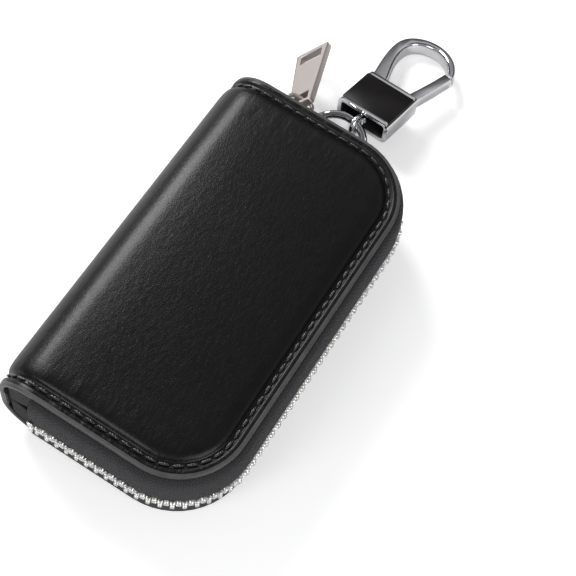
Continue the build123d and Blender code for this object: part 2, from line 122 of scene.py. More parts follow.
class ZipSizes(bpy.types.PropertyGroup):
    """Sizes of the zip, in millimetres."""

    tape: length("Tape", 0.6, "Thickness of the tape")
    chain_offset: length("Chain offset", 1.6, "Middle of the teeth, out from the leather's edge")
    chain_margin: length("Chain margin", 1.9, "Tape at each end of the chain")
    pitch: length("Tooth pitch", 2.6, "Distance from tooth to tooth in one row")
    tooth: length("Tooth length", 1.0, "Length of a tooth along the zip")
    dot: length("Front tooth height", 1.75, "Height of the front row's teeth under the parting line")
    bar: length("Back tooth height", 2.3, "Height of the back row's teeth under the parting line")
    width: length("Tooth width", 2.2, "Width of a tooth across the tape")
    reach: length("Head reach", 0.7, "How far a head passes the parting line")
    parked: length("Parked zone", 13.0, "Stretch by the slider where the rows don't mesh")


class KeySizes(bpy.types.PropertyGroup):
    """Sizes of the key chain, in millimetres."""

    links: IntProperty(name="Links", description="Number of chain links", default=17, min=2, max=60)
    wire: length("Link wire", 0.55, "Thickness of the link wire")
    link_length: length("Link length", 3.4, "Length of a link")
    link_width: length("Link width", 2.4, "Width of a link")


class Colours(bpy.types.PropertyGroup):
    """Base colours, in linear light."""

    leather: colour("Leather", (0.0034, 0.0033, 0.0038), "Smooth black leather")
    # The edge colour is real edge paint on the cut edge, and a painted highlight where the skins lay it on the bead's
    # outward rounding.
    edge: colour("Edge paint", (0.06, 0.06, 0.059), "Painted cut edge of the leather")
    thread: colour("Thread", (0.022, 0.0215, 0.021), "Sewing thread")
    tape: colour("Tape", (0.0105, 0.0102, 0.0115), "Charcoal zip tape")
    teeth: colour("Teeth", (0.92, 0.91, 0.89), "Bright nickel")
    nickel: colour("Pull", (0.52, 0.47, 0.445), "Warm satin nickel")
    chrome: colour("Chrome", (0.8, 0.8, 0.815), "Polished chrome plate")
    cast: colour("Cast inside", (0.16, 0.155, 0.15), "Dull cast inside of the sleeve")
    inlay: colour("Inlay", (0.006, 0.005, 0.005), "Smooth black inlay")
    lining: colour("Lining", (0.47, 0.38, 0.31), "Beige woven lining")
    rim: colour("Rim", (0.63, 0.53, 0.45), "Light beige rolled binding")
    board: colour("Board", (0.09, 0.088, 0.09), "Moulded board")
    shield: colour("Conductive cloth", (0.055, 0.054, 0.052), "Dark metallised cloth")
    floor: colour("Floor", (0.93, 0.93, 0.93), "Pale studio floor")


# ---- Materials ----
class Number:
    """A number socket of a material that can be worked with in ordinary sums."""

    def __init__(self, finish, socket):
        self.finish = finish
        self.socket = socket

    def sum(self, operation, *terms):
        node = self.finish.tree.nodes.new("ShaderNodeMath")
        node.operation = operation
        for slot, term in zip(node.inputs, terms):
            self.finish.feed(slot, term)
        return Number(self.finish, node.outputs[0])

    def __add__(self, other):
        return self.sum("ADD", self, other)

    __radd__ = __add__

    def __sub__(self, other):
        return self.sum("SUBTRACT", self, other)

    def __rsub__(self, other):
        return self.sum("SUBTRACT", other, self)

    def __mul__(self, other):
        return self.sum("MULTIPLY", self, other)

    __rmul__ = __mul__

    def __truediv__(self, other):
        return self.sum("DIVIDE", self, other)

    def __rtruediv__(self, other):
        return self.sum("DIVIDE", other, self)

    def __pow__(self, other):
        return self.sum("POWER", self, other)

    def __abs__(self):
        return self.sum("ABSOLUTE", self)

    def part(self):
        """What is left after the whole number."""
        return self.sum("FRACT", self)

    def whole(self):
        return self.sum("FLOOR", self)

    def over(self, limit):
        """1 where the number is over the limit, else 0."""
        return self.sum("GREATER_THAN", self, limit)

    def largest(self, other):
        return self.sum("MAXIMUM", self, other)

    def ridge(self):
        """A ridge from 0 to 1 and back over each whole number."""
        return 1 - abs(self.part() * 2 - 1)


class Finish:
    """One material: a principled shader and the nodes that feed it."""

    def __init__(self, name, base, roughness, **steady):
        self.material = bpy.data.materials.new(name)
        self.material.use_nodes = True
        self.tree = self.material.node_tree
        self.shader = self.tree.nodes["Principled BSDF"]
        self.base = (*base, 1.0)
        self.shader.inputs["Base Color"].default_value = self.base
        self.shader.inputs["Roughness"].default_value = roughness
        for key, value in steady.items():
            self.shader.inputs[key.replace("_", " ")].default_value = value

    def feed(self, slot, value):
        """Give a socket a link or a plain value."""
        if isinstance(value, Number):
            self.tree.links.new(value.socket, slot)
        elif value is not None:
            slot.default_value = value

    def node(self, kind, settings=None, inputs=None, output=0):
        """Add a node: its settings first, then what its sockets get."""
        node = self.tree.nodes.new(kind)
        for key, value in (settings or {}).items():
            if key == "stops":
                while len(node.color_ramp.elements) < len(value):
                    node.color_ramp.elements.new(0.5)
                for element, (position, shade) in zip(node.color_ramp.elements, value):
                    element.position = position
                    element.color = (*shade, 1.0)
            else:
                setattr(node, key, value)
        for key, value in (inputs or {}).items():
            self.feed(node.inputs[key], value)
        return Number(self, node.outputs[output])

    def place(self):
        """Place on the piece, in metres of the shared frame."""
        return self.node("ShaderNodeTexCoord", output="Object")

    def stretched(self, scale, turn=(0.0, 0.0, 0.0)):
        """Place on the piece, scaled and turned."""
        return self.node("ShaderNodeMapping", inputs={"Vector": self.place(), "Scale": scale, "Rotation": turn})

    def noise(self, scale, detail=3.0, roughness=0.5, place=None):
        return self.node(
            "ShaderNodeTexNoise",
            inputs={"Vector": place or self.place(), "Scale": scale, "Detail": detail, "Roughness": roughness},
        )

    def cells(self, scale, feature="DISTANCE_TO_EDGE", place=None):
        return self.node(
            "ShaderNodeTexVoronoi",
            settings={"feature": feature},
            inputs={"Vector": place or self.place(), "Scale": scale},
        )

    def attribute(self, name):
        """A number kept on the vertices of the piece."""
        return self.node("ShaderNodeAttribute", settings={"attribute_name": name}, output="Fac")

    def mix(self, share, first, second):
        """A colour between two, by share."""
        node = self.tree.nodes.new("ShaderNodeMix")
        node.data_type = "RGBA"
        self.feed(node.inputs["Factor"], share)
        self.feed(node.inputs[6], first if isinstance(first, Number) else (*first[:3], 1.0))
        self.feed(node.inputs[7], second if isinstance(second, Number) else (*second[:3], 1.0))
        return Number(self, node.outputs[2])

    def paint(self, **inputs):
        """Feed the shader's own sockets."""
        for key, value in inputs.items():
            self.feed(self.shader.inputs[key.replace("_", " ")], value)

    def bump(self, height, depth, strength=1.0):
        """Relief of a depth in millimetres."""
        self.paint(
            Normal=self.node(
                "ShaderNodeBump", inputs={"Height": height, "Distance": depth * mm, "Strength": strength}
            )
        )


def shade(base, share):
    """The same colour, lighter or darker."""
    return tuple(min(1.0, part * share) for part in base)


def leather_finish(name, base, roughness=0.35, grain=1.0):
    """Fine-grained leather with pores, soft creases and a waxed sheen."""
    finish = Finish(name, base, roughness, Specular_IOR_Level=0.2, Coat_Roughness=0.22, Coat_Weight=0.15)
    pores = finish.cells(2300)
    wrinkles = finish.noise(850, 4.0, 0.6, finish.stretched((1.0, 0.55, 1.0), (0, 0, 0.5)))
    broad = finish.noise(38, 3.0)
    split = finish.node("ShaderNodeSeparateXYZ", inputs={"Vector": finish.place()}).socket.node
    near_end = ((abs(Number(finish, split.outputs["Y"])) - 0.033) * 90).largest(0)
    creases = finish.noise(230, 3.0, 0.5, finish.stretched((1.0, 0.3, 1.0))) * near_end
    finish.bump(pores * 0.9 * grain + wrinkles * 1.6 * grain + broad * 2.0 + creases * 9.0, 0.07, 0.8)
    finish.paint(
        Base_Color=finish.mix(finish.noise(300, 4.0), shade(base, 0.7), shade(base, 1.6)),
        Roughness=roughness - 0.07 + broad * 0.1 + finish.noise(900, 3.0) * 0.07,
    )
    return finish.material


def edge_finish(name, base):
    """Painted cut edge: satin, a little uneven. On the leather's bead its lighter colour is also a painted highlight.
    """
    finish = Finish(name, base, 0.45)
    streaks = finish.noise(260, 4.0, 0.6)
    finish.paint(Base_Color=finish.mix(streaks, shade(base, 0.45), shade(base, 1.8)), Roughness=0.34 + streaks * 0.2)
    finish.bump(streaks, 0.14, 0.8)
    return finish.material


def thread_finish(name, base):
    """Waxed, twisted sewing thread."""
    finish = Finish(name, base, 0.35, Coat_Weight=0.25)
    twist = finish.node(
        "ShaderNodeTexWave",
        settings={"bands_direction": "DIAGONAL"},
        inputs={"Vector": finish.place(), "Scale": 900.0, "Distortion": 0.6},
        output="Fac",
    )
    finish.paint(Base_Color=finish.mix(twist, shade(base, 0.6), shade(base, 2.2)))
    finish.bump(twist, 0.08, 0.8)
    return finish.material


def weave_finish(name, base, pitch, depth, roughness=0.85, follow=False, contrast=1.5, sheen=0.25):
    """Plain woven cloth. It follows the tape where follow is set, else the frame."""
    finish = Finish(name, base, roughness, Sheen_Weight=sheen, Sheen_Roughness=0.5)
    if follow:
        warp = finish.attribute("along") / pitch
        weft = finish.attribute("across") / pitch
    else:
        apart = finish.node("ShaderNodeSeparateXYZ", inputs={"Vector": finish.place()})
        split = apart.socket.node
        level = Number(finish, split.outputs["Z"]) / (pitch * mm)
        warp = apart / (pitch * mm) + level
        weft = Number(finish, split.outputs["Y"]) / (pitch * mm) + level
    over = ((warp.whole() + weft.whole()) / 2).part().over(0.25)
    height = (warp.ridge() * over).largest(weft.ridge() * (1 - over))
    fuzz = finish.noise(1400, 3.0, 0.6)
    slub = finish.noise(160, 3.0, 0.6)
    finish.paint(
        Base_Color=finish.mix(height * 0.6 + fuzz * 0.35 + slub * 0.25, shade(base, 0.55), shade(base, contrast)),
        Roughness=roughness - 0.06 + fuzz * 0.12,
    )
    finish.bump(height + fuzz * 0.4, depth, 0.8)
    return finish.material


def metal_finish(name, base, roughness, brushed=0.0, uneven=0.04, wear=0.0):
    """Plated metal with faint handling marks; brushed lines where asked."""
    finish = Finish(name, base, roughness, Metallic=1.0)
    haze = finish.noise(130, 3.0, 0.6)
    lines = finish.noise(260, 3.0, 0.6, finish.stretched((9.0, 9.0, 0.8), (0.5, 0.3, 0.2)))
    finish.paint(
        Base_Color=finish.mix(haze * 0.7 + lines * 0.3, shade(base, 0.93 - wear), shade(base, 1.04)),
        Roughness=roughness - uneven / 2 + haze * uneven + lines * brushed,
    )
    finish.bump(lines * brushed + haze * 0.2, 0.01, 0.35)
    return finish.material


def inlay_finish(name, base):
    """Glossy black inlay with a faint orange-peel."""
    finish = Finish(name, base, 0.3, Coat_Weight=0.1, Coat_Roughness=0.2, Specular_IOR_Level=0.2)
    peel = finish.noise(300, 2.0)
    finish.paint(Roughness=0.27 + peel * 0.08, Base_Color=finish.mix(peel, shade(base, 0.8), shade(base, 1.5)))
    finish.bump(peel, 0.02, 0.5)
    return finish.material


def make_finishes(tints):
    """Every material of the case by its plain name, with the record's slot it belongs to."""
    return {
        "leather": (leather_finish("leather", tints.leather), "leather"),
        # Lighter than the leather: edge paint on the cut edge, and a painted highlight on the bead's outward rounding.
        "edge": (edge_finish("leather_edge_and_bead_highlight", tints.edge), "leather"),
        "thread": (thread_finish("thread", tints.thread), "leather"),
        "tape": (weave_finish("zip_tape", tints.tape, 0.62, 0.16, follow=True, contrast=3.6, sheen=0.05), "tape"),
        "end_cloth": (weave_finish("end_cloth", tints.tape, 0.3, 0.06, contrast=2.2, sheen=0.05), "tape"),
        "teeth": (metal_finish("teeth_nickel", tints.teeth, 0.3, uneven=0.1), "teeth"),
        "nickel": (metal_finish("satin_nickel", tints.nickel, 0.34, brushed=0.16, uneven=0.08), "pull_nickel"),
        "chrome": (metal_finish("chrome_plate", tints.chrome, 0.07, uneven=0.05, wear=0.05), "chrome"),
        "dark_cast": (metal_finish("cast_inside", tints.cast, 0.45, uneven=0.15), "chrome"),
        "inlay": (inlay_finish("black_inlay", tints.inlay), "inlay"),
        "lining": (weave_finish("lining_cloth", tints.lining, 0.3, 0.04, 0.7, contrast=1.15, sheen=0.4), "lining"),
        "rim": (weave_finish("rim_binding", tints.rim, 0.26, 0.03, 0.65, contrast=1.12, sheen=0.3), "rim"),
        "board": (edge_finish("moulded_board", tints.board), "board"),
        "shield": (weave_finish("conductive_cloth", tints.shield, 0.25, 0.03, 0.45, contrast=1.3), "conductive_cloth"),
    }


# ---- Mesh helpers ----
def make_object(name, bm, finishes, scale=mm, smooth_under=40.0):
    """Turn a finished bmesh into a shown object at the origin."""
    bmesh.ops.scale(bm, vec=(scale, scale, scale), verts=bm.verts)
    mesh = bpy.data.meshes.new(name)
    bm.to_mesh(mesh)
    bm.free()
    for finish in finishes:
        mesh.materials.append(finish)
    mesh.shade_smooth()
    mesh.set_sharp_from_angle(angle=math.radians(smooth_under))
    piece = bpy.data.objects.new(name, mesh)
    bpy.context.scene.collection.objects.link(piece)
    return piece


def next_row(bm, row, closed):
    """Extrude a row of joined vertices and return the new row in the same order."""
    pairs = list(zip(row, row[1:] + row[:1])) if closed else list(zip(row, row[1:]))
    made = bmesh.ops.extrude_edge_only(bm, edges=[bm.edges.get(pair) for pair in pairs])["geom"]
    fresh = {vert for vert in made if isinstance(vert, bmesh.types.BMVert)}
    return [
        next(edge.other_vert(vert) for edge in vert.link_edges if edge.other_vert(vert) in fresh) for vert in row
    ]


def sweep(bm, stations, section, looped=False):
    """Push a closed section along stations (origin, outward, up), with the way along kept on the vertices."""
    along = bm.verts.layers.float.get("along") or bm.verts.layers.float.new("along")
    across = bm.verts.layers.float.get("across") or bm.verts.layers.float.new("across")
    rows = []
    travel = 0.0
    for index, (origin, outward, up) in enumerate(stations):
        points = section(index) if callable(section) else section
        if rows:
            travel += (origin - stations[index - 1][0]).length
            row = next_row(bm, rows[-1], True)
        else:
            row = [bm.verts.new((0, 0, 0)) for _ in points]
            for pair in zip(row, row[1:] + row[:1]):
                bm.edges.new(pair)
        girth = 0.0
        for place, (vert, (out, rise)) in enumerate(zip(row, points)):
            vert.co = origin + outward * out + up * rise
            if place:
                girth += math.dist(points[place - 1], points[place])
            vert[along] = travel
            vert[across] = girth
        rows.append(row)
    if looped:
        bmesh.ops.bridge_loops(
            bm,
            edges=[bm.edges.get(pair) for row in (rows[0], rows[-1]) for pair in zip(row, row[1:] + row[:1])],
        )
    else:
        for row in (rows[0], rows[-1]):
            bmesh.ops.contextual_create(bm, geom=[bm.edges.get(pair) for pair in zip(row, row[1:] + row[:1])])
    bmesh.ops.recalc_face_normals(bm, faces=bm.faces)
    return rows


def circle(radius, count=10):
    """Points of a round section."""
    return [
        (radius * math.cos(2 * math.pi * turn / count), radius * math.sin(2 * math.pi * turn / count))
        for turn in range(count)
    ]


def ribbon(line, thickness):
    """Closed section of a strip of even thickness along a line of points."""
    upper, lower = [], []
    for index, (a, b) in enumerate(line):
        before = line[max(index - 1, 0)]
        after = line[min(index + 1, len(line) - 1)]
        way = Vector((after[0] - before[0], after[1] - before[1])).normalized() * thickness / 2
        upper.append((a - way.y, b + way.x))
        lower.append((a + way.y, b - way.x))
    return upper + lower[::-1]


def rounded(bm, width, segments=2, angle=35.0, outside=None):
    """Bevel every edge sharper than an angle, in millimetres."""
    edges = [edge for edge in bm.edges if len(edge.link_faces) == 2 and edge.calc_face_angle(0) > math.radians(angle)]
    if outside:
        low, high = (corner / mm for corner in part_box(outside))
        edges = [edge for edge in edges if any(vert.co.y > high.y for vert in edge.verts)]
    bmesh.ops.bevel(
        bm,
        geom=edges,
        offset=width,
        offset_type="OFFSET",
        segments=segments,
        profile=0.5,
        affect="EDGES",
        clamp_overlap=True,
        material=-1,
        loop_slide=True,
    )


def from_frame(node, name, finish, width, segments=2, angle=35.0, tidy=1.0, smooth_under=40.0, outside=None):
    """A copy of a node of the frame with its edges rounded, standing for that node."""
    bm = bmesh.new()
    bm.from_mesh(frame["nodes"][node].data)
    bmesh.ops.scale(bm, vec=(1 / mm,) * 3, verts=bm.verts)
    bmesh.ops.remove_doubles(bm, verts=bm.verts, dist=0.002)
    bmesh.ops.dissolve_limit(bm, angle_limit=math.radians(tidy), verts=bm.verts, edges=bm.edges)
    if width:
        rounded(bm, width, segments, angle, outside)
    material, slot = finish
    piece = make_object(name, bm, [material], smooth_under=smooth_under)
    owner = next(key for key, nodes in frame["record"]["behaviour"]["bodies"].items() if node in nodes)
    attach(piece, owner)
    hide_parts(node)
    return piece


def settle(piece, body, slot, *nodes):
    """Let a piece move with a body and stand for nodes of the frame."""
    if body:
        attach(piece, body)
    if nodes:
        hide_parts(*nodes)
    return piece


def zip_course(out, left):
    """Length of the line round the three zipped sides, and a function from way to place and outward."""
    sizes = bpy.context.scene.leather_sizes
    radius = sizes.corner + out
    short = zip_x + out - radius - left
    long_side = 2 * (half_length - sizes.corner)
    quarter = math.pi / 2 * radius
    side = half_length + out
    spans = [short, quarter, long_side, quarter, short]

    def at(way):
        if way < short:
            return Vector((left + way, -side, 0)), Vector((0, -1, 0))
        way -= short
        if way < quarter:
            turn = way / radius - math.pi / 2
            outward = Vector((math.cos(turn), math.sin(turn), 0))
            return Vector((zip_x + out - radius, -half_length + sizes.corner, 0)) + outward * radius, outward
        way -= quarter
        if way < long_side:
            return Vector((zip_x + out, -half_length + sizes.corner + way, 0)), Vector((1, 0, 0))
        way -= long_side
        if way < quarter:
            turn = way / radius
            outward = Vector((math.cos(turn), math.sin(turn), 0))
            return Vector((zip_x + out - radius, half_length - sizes.corner, 0)) + outward * radius, outward
        way -= quarter
        return Vector((zip_x + out - radius - way, side, 0)), Vector((0, 1, 0))

    return sum(spans), spans, at


def to_front(bm):
    """Mirror a back piece about the parting plane to make its front fellow."""
    bmesh.ops.scale(bm, vec=(1, 1, -1), verts=bm.verts)
    bmesh.ops.translate(bm, vec=(0, 0, case_top), verts=bm.verts)
    bmesh.ops.recalc_face_normals(bm, faces=bm.faces)


# ---- Leather ----
def leather_skin(front):
    """One half's leather: bead, sewn channel and padded field, wrapped round its spine corner."""
    sizes = bpy.context.scene.leather_sizes
    bend_x = spine_x + sizes.bend
    border = sizes.crown
    spare = 8.0
    bm = bmesh.new()
    plan = [
        bm.verts.new((bend_x - spare, -half_length, border + sizes.thickness * 0.75)),
        bm.verts.new((zip_x, -half_length, border + sizes.thickness * 0.75)),
        bm.verts.new((zip_x, half_length, border + sizes.thickness * 0.75)),
        bm.verts.new((bend_x - spare, half_length, border + sizes.thickness * 0.75)),
    ]
    bm.faces.new(plan)
    bmesh.ops.bevel(
        bm,
        geom=plan[1:3],
        offset=sizes.corner,
        offset_type="OFFSET",
        segments=14,
        profile=0.5,
        affect="VERTICES",
        material=-1,
    )
    bm.faces.ensure_lookup_table()
    inside = bm.faces[0]
    made = bmesh.ops.extrude_face_region(bm, geom=[inside])["geom"]
    outer = next(part for part in made if isinstance(part, bmesh.types.BMFace))
    bmesh.ops.translate(bm, vec=(0, 0, -sizes.thickness * 0.5), verts=outer.verts)
    bmesh.ops.recalc_face_normals(bm, faces=bm.faces)

    def ring(face, width, rise):
        bmesh.ops.inset_region(
            bm, faces=[face], thickness=width, depth=rise, use_boundary=True, use_even_offset=True
        )

    edge = sizes.thickness * 0.25
    ring(inside, 0.15, edge * 0.7)
    ring(inside, 0.35, edge * 0.3)
    ring(inside, 4.0, 0.0)
    ring(outer, 0.12, edge * 0.5)
    ring(outer, 0.3, edge * 0.3)
    ring(outer, 0.45, edge * 0.2)
    ring(outer, sizes.bead - 1.37, 0.0)
    ring(outer, 0.25, -0.08)
    ring(outer, 0.25, -sizes.channel_depth + 0.12)
    ring(outer, 0.15, -0.04)
    ring(outer, sizes.channel - 0.5, 0.0)
    ring(outer, 0.2, 0.06)
    rise = sizes.channel_depth + sizes.crown - 0.06
    for width, share in ((0.25, 0.3), (0.35, 0.28), (0.6, 0.22), (0.9, 0.12), (1.3, 0.08)):
        ring(outer, width, rise * share)
    bend_cut = bend_x
    everything = bm.verts[:] + bm.edges[:] + bm.faces[:]
    bmesh.ops.bisect_plane(
        bm, geom=everything, dist=0.001, plane_co=(bend_cut, 0, 0), plane_no=(-1, 0, 0), clear_outer=True
    )
    for step in range(1, 12):
        everything = bm.verts[:] + bm.edges[:] + bm.faces[:]
        place = bend_cut + (zip_x - bend_cut) * step / 12
        bmesh.ops.bisect_plane(bm, geom=everything, dist=0.02, plane_co=(place, 0, 0), plane_no=(1, 0, 0))
    for step in range(1, 24):
        everything = bm.verts[:] + bm.edges[:] + bm.faces[:]
        place = -half_length + 2 * half_length * step / 24
        bmesh.ops.bisect_plane(bm, geom=everything, dist=0.02, plane_co=(0, place, 0), plane_no=(0, 1, 0))
    # round the spine corner, then up half of the strip
    rim = [edge for edge in bm.edges if edge.is_boundary]
    spun = bmesh.ops.spin(
        bm,
        geom=rim + list({vert for edge in rim for vert in edge.verts}),
        cent=(bend_x, 0, bend_z),
        axis=(0, 1, 0),
        angle=math.pi / 2,
        steps=10,
        use_duplicate=False,
    )["geom_last"]
    last = [part for part in spun if isinstance(part, bmesh.types.BMEdge)]
    for step in range(3):
        made = bmesh.ops.extrude_edge_only(bm, edges=last)["geom"]
        fresh = {part for part in made if isinstance(part, bmesh.types.BMVert)}
        bmesh.ops.translate(bm, vec=(0, 0, (mid_z - bend_z) / 3), verts=list(fresh))
        last = [edge for edge in bm.edges if edge.verts[0] in fresh and edge.verts[1] in fresh]
    bmesh.ops.recalc_face_normals(bm, faces=bm.faces)
    # Faces near the plan's edge that face outward get the lighter edge material: paint on the cut edge, and a painted
    # highlight on the bead's outer rounding.
    for face in bm.faces:
        middle = face.calc_center_median()
        corner = Vector((middle.x - zip_x + sizes.corner, abs(middle.y) - half_length + sizes.corner))
        if corner.x > 0 and corner.y > 0:
            outward = Vector((corner.x, math.copysign(corner.y, middle.y), 0)).normalized()
            inset = sizes.corner - corner.length
        elif corner.x > corner.y:
            outward, inset = Vector((1, 0, 0)), zip_x - middle.x
        else:
            outward, inset = Vector((0, math.copysign(1, middle.y), 0)), half_length - abs(middle.y)
        face.material_index = 1 if inset < 0.8 and face.normal.dot(outward) > 0.1 else 0
    if front:
        to_front(bm)
        for vert in bm.verts:
            across = (vert.co.x - bend_x) / (zip_x - bend_x)
            along = vert.co.y / half_length
            if vert.co.z > case_top - 0.3 and 0 < across < 1:
                swell = (1 - along**4) * math.sin(math.pi * min(1.0, across + 0.12)) ** 0.8
                vert.co.z += sizes.dome * max(0.0, swell)
    return bm


def add_stitches(bm, front):
    """Stitches lying in the sewn channel, round the plan and on round the spine corner."""
    sizes = bpy.context.scene.leather_sizes
    bend_x = spine_x + sizes.bend
    inset = sizes.bead + sizes.channel / 2 - 0.15
    depth = sizes.crown + sizes.channel_depth - 0.22
    total, spans, at = zip_course(-inset, bend_x)
    rng = random.Random(7)
    places = []
    count = int(total / sizes.stitch_pitch)
    for number in range(count):
        origin, outward = at((number + 0.5) * total / count)
        places.append((Vector((origin.x, origin.y, depth)), outward, Vector((0, 0, -1))))
    radius = sizes.bend - (depth - sizes.crown)
    for side in (-1, 1):
        for number in range(4):
            turn = (number + 0.5) * sizes.stitch_pitch / sizes.bend
            down = Vector((-math.sin(turn), 0, -math.cos(turn)))
            places.append((Vector((bend_x, side * (half_length - inset), bend_z)) + down * radius, Vector((0, side, 0)), down))
    for origin, outward, up in places:
        along = up.cross(outward)
        lean = rng.uniform(-0.06, 0.06)
        along = (along + outward * lean).normalized()
        side = up.cross(along)
        made = bmesh.ops.create_uvsphere(bm, u_segments=6, v_segments=6, radius=0.5)["verts"]
        size = sizes.stitch_length * rng.uniform(0.94, 1.04)
        matrix = Matrix.Identity(4)
        for column, axis, reach in ((2, along, size), (0, side, sizes.thread), (1, up, sizes.thread * 0.8)):
            for line in range(3):
                matrix[line][column] = axis[line] * reach
        for line in range(3):
            matrix[line][3] = origin[line]
        if front:
            flip = Matrix.Diagonal((1, 1, -1, 1))
            flip[2][3] = case_top
            matrix = flip @ matrix
        bmesh.ops.transform(bm, matrix=matrix, verts=made)
        made_faces = {face for vert in made for face in vert.link_faces}
        for face in made_faces:
            face.material_index = 2
        if front:
            bmesh.ops.reverse_faces(bm, faces=list(made_faces))


class KEYCASE_OT_leather(bpy.types.Operator):
    """Make the two leather skins with their sewn channels"""

    bl_idname = "keycase.leather"
    bl_label = "Leather Skins"

    def execute(self, context):
        materials = [finishes[key][0] for key in ("leather", "edge", "thread")]
        for front in (False, True):
            bm = leather_skin(front)
            add_stitches(bm, front)
            name = "front_leather" if front else "back_leather"
            piece = make_object(name, bm, materials, smooth_under=50)
            if front:
                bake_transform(piece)
                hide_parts("front_panel")
            else:
                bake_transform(piece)
                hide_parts("back_panel", "spine_panel")
        return {"FINISHED"}


# ---- Zip ----
class KEYCASE_OT_tapes(bpy.types.Operator):
    """Make the two woven zip tapes and finish the end cloths"""

    bl_idname = "keycase.tapes"
    bl_label = "Zip Tapes"

    def execute(self, context):
        sizes = context.scene.zip_sizes
        leather = context.scene.leather_sizes
        under = leather.crown + leather.thickness
        hem = under + sizes.tape / 2 + 0.02
        top = mid_z - 1.7
        line = [
            (-6.5, hem),
            (-3.0, hem),
            (-0.9, hem + 0.02),
            (0.2, hem + 0.35),
            (0.8, hem + 1.1),
            (1.15, hem + 2.4),
            (1.4, hem + 4.3),
            (1.55, hem + 6.6),
            (sizes.chain_offset, top - 1.2),
            (sizes.chain_offset, top),
        ]
        section = ribbon(line, sizes.tape)
        total, spans, at = zip_course(0.0, tape_left)
        tab_low, tab_high = corners("clasp_tab")
        for front in (False, True):
            ways = {0.0, total}
            for number, span in enumerate(spans):
                start = sum(spans[:number])
                pieces = 12 if number in (1, 3) else max(2, int(span / 4))
                ways.update(start + span * step / pieces for step in range(pieces + 1))
            notch = []
            if not front:
                corner_end = sum(spans[:4])
                reach = zip_x - leather.corner
                notch = [corner_end + reach - tab_high.x - 0.4, corner_end + reach - tab_low.x + 0.4]
                ways.update((notch[0] - 0.03, notch[0], notch[1], notch[1] + 0.03))
            ways = sorted(ways)
            stations = []
            for way in ways:
                origin, outward = at(way)
                stations.append((origin, outward, Vector((0, 0, 1))))
            clear = tab_high.z + 0.0

            def at_station(index):
                way = ways[index]
                if notch and notch[0] <= way <= notch[1]:
                    floor = under + 2.75
                    return [(max(out, 0.45) if rise < floor else out, max(rise, floor)) for out, rise in section]
                return section

            bm = bmesh.new()
            sweep(bm, stations, at_station)
            if front:
                to_front(bm)
            name = "front_tape_cloth" if front else "back_tape_cloth"
            piece = make_object(name, bm, [finishes["tape"][0]], smooth_under=60)
            settle(piece, "front" if front else "back", "tape", "front_tape" if front else "back_tape")
        for node in ("back_gussets", "front_gussets"):
            from_frame(node, node.replace("gussets", "end_cloths"), finishes["end_cloth"], 0.12)
        return {"FINISHED"}


class KEYCASE_OT_teeth(bpy.types.Operator):
    """Make both rows of teeth, meshing with each other, and the end stops"""

    bl_idname = "keycase.teeth"
    bl_label = "Zip Teeth"

    def execute(self, context):
        sizes = context.scene.zip_sizes
        total, spans, at = zip_course(sizes.chain_offset, tape_left + sizes.chain_margin)
        for front in (False, True):
            bm = bmesh.new()
            way = sizes.tooth / 2 + (sizes.pitch / 2 if front else 0.0)
            while way < total - sizes.tooth / 2:
                origin, outward = at(way)
                travel = Vector((-outward.y, outward.x, 0))
                parked = way > total - sizes.parked
                body_low = mid_z - (sizes.dot if front else sizes.bar)
                blocks = [(sizes.width, sizes.tooth, body_low, mid_z - 0.75)]
                if parked:
                    blocks.append((sizes.width * 0.8, sizes.tooth, mid_z - 0.8, mid_z - 0.4))
                else:
                    blocks.append((sizes.width * 0.7, sizes.tooth * 0.6, mid_z - 0.9, mid_z + 0.1))
                    blocks.append((sizes.width * 0.85, sizes.tooth * 1.2, mid_z, mid_z + sizes.reach))
                for wide, long, low, high in blocks:
                    made = bmesh.ops.create_cube(bm, size=1.0)["verts"]
                    matrix = Matrix.Identity(4)
                    for column, axis, reach in (
                        (0, outward, wide),
                        (1, travel, long),
                        (2, Vector((0, 0, 1)), high - low),
                    ):
                        for line in range(3):
                            matrix[line][column] = axis[line] * reach
                    centre = origin + Vector((0, 0, (low + high) / 2))
                    for line in range(3):
                        matrix[line][3] = centre[line]
                    bmesh.ops.transform(bm, matrix=matrix, verts=made)
                    edges = list({edge for vert in made for edge in vert.link_edges})
                    bmesh.ops.bevel(
                        bm,
                        geom=edges,
                        offset=min(0.2, (high - low) * 0.22, long * 0.22),
                        segments=1,
                        profile=0.5,
                        affect="EDGES",
                        material=-1,
                    )
                way += sizes.pitch
            if front:
                to_front(bm)
            name = "front_tooth_row" if front else "back_tooth_row"
            piece = make_object(name, bm, [finishes["teeth"][0]], smooth_under=60)
            settle(piece, "front" if front else "back", "teeth", "front_teeth" if front else "back_teeth")
        for node in ("back_stops", "front_stops"):
            from_frame(node, node.replace("stops", "end_stops"), finishes["teeth"], 0.25)
        return {"FINISHED"}


class KEYCASE_OT_slider(bpy.types.Operator):
    """Finish the slider, its bail and the tapered pull"""

    bl_idname = "keycase.slider"
    bl_label = "Slider and Pull"

    def execute(self, context):
        from_frame("slider_body", "slider_shell", finishes["nickel"], 0.35, 3)
        from_frame("slider_bail", "slider_wire", finishes["nickel"], 0.0)
        from_frame("pull_tab", "pull_plate", finishes["nickel"], 0.22, 3)
        return {"FINISHED"}


# ---- Linings ----
class KEYCASE_OT_linings(bpy.types.Operator):
    """Finish the trays, the conductive cloth, the linings and the rolled rims"""

    bl_idname = "keycase.linings"
    bl_label = "Trays and Linings"

    def execute(self, context):
        for half in ("back", "front"):
            from_frame(f"{half}_rim", f"{half}_rim_binding", finishes["rim"], 0.0, smooth_under=70)
            from_frame(f"{half}_lining", f"{half}_lining_cloth", finishes["lining"], 0.0, smooth_under=60)
            for kind in ("tray", "shield"):
                node = frame["nodes"][f"{half}_{kind}"]
                node.material_slots[0].material = finishes["board" if kind == "tray" else "shield"][0]
        frame["nodes"]["spine_shield"].material_slots[0].material = finishes["shield"][0]
        from_frame("spine_lining", "spine_lining_cloth", finishes["end_cloth"], 0.1)
        return {"FINISHED"}


